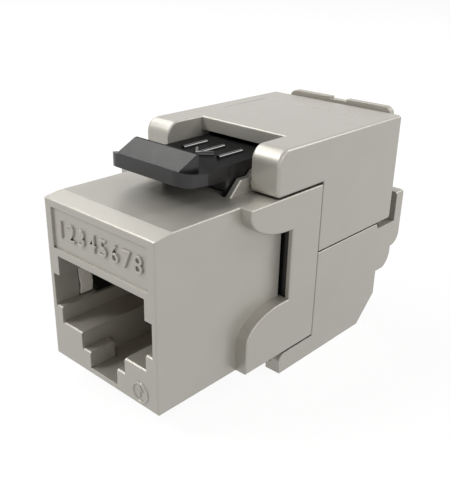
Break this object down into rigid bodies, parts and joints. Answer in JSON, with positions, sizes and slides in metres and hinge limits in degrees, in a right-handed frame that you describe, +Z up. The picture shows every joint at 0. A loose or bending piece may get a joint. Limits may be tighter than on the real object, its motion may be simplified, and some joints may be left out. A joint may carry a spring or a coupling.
{
  "type": "shielded keystone jack",
  "caption": "Shielded tool-less keystone jack with a modular plug port, snap latch, hinged wire-pressing cover and shell, and a sliding cable clamp.",
  "frame": {"origin": "under the middle of the jack, at the height of the bottom shell's underside, with both wire halves closed", "axes": "+Y runs from the plug port to the cable end, +X is to the right seen from the port side, +Z is up towards the latch"},
  "size_m": [0.0174, 0.0366, 0.0238],
  "materials": {
    "die_cast": "satin nickel plate on die-cast zinc",
    "black_plastic": "fine matt",
    "board": "solder mask",
    "gold_plate": "bright gold plate",
    "tin_plate": "tin plate",
    "spring_steel": "polished"
  },
  "bodies": {
    "housing": {"front_housing": "die_cast", "contact_carrier": "black_plastic", "circuit_board": "board", "idc_block": "black_plastic", "jack_contact_1": "gold_plate", "jack_contact_2": "gold_plate", "jack_contact_3": "gold_plate", "jack_contact_4": "gold_plate", "jack_contact_5": "gold_plate", "jack_contact_6": "gold_plate", "jack_contact_7": "gold_plate", "jack_contact_8": "gold_plate", "idc_blade_1": "tin_plate", "idc_blade_2": "tin_plate", "idc_blade_3": "tin_plate", "idc_blade_4": "tin_plate", "idc_blade_5": "tin_plate", "idc_blade_6": "tin_plate", "idc_blade_7": "tin_plate", "idc_blade_8": "tin_plate", "shield_spring_left": "spring_steel", "shield_spring_right": "spring_steel", "top_hinge_pin_left": "spring_steel", "top_hinge_pin_right": "spring_steel", "bottom_hinge_pin_left": "spring_steel", "bottom_hinge_pin_right": "spring_steel"},
    "latch": {"panel_latch": "black_plastic"},
    "top_cover": {"top_cover": "die_cast", "upper_wire_press": "black_plastic"},
    "bottom_shell": {"bottom_shell": "die_cast", "lower_wire_press": "black_plastic"},
    "cable_clamp": {"cable_clamp": "die_cast"}
  },
  "joints": [
    {"name": "latch_flex", "type": "hinge", "parent": "housing", "child": "latch", "pos_m": [0, -0.00175, 0.0199], "axis": [1, 0, 0], "range_deg": [0, 9.6], "stiffness_Nm_per_rad": 0.15},
    {"name": "top_cover_swing", "type": "hinge", "parent": "housing", "child": "top_cover", "pos_m": [0, -0.0042, 0.01975], "axis": [1, 0, 0], "range_deg": [0, 85]},
    {"name": "bottom_shell_swing", "type": "hinge", "parent": "housing", "child": "bottom_shell", "pos_m": [0, -0.00245, 0.0013], "axis": [-1, 0, 0], "range_deg": [0, 80]},
    {"name": "cable_clamp_slide", "type": "slide", "parent": "bottom_shell", "child": "cable_clamp", "axis": [0, 0, 1], "range_m": [0, 0.0035]}
  ]
}
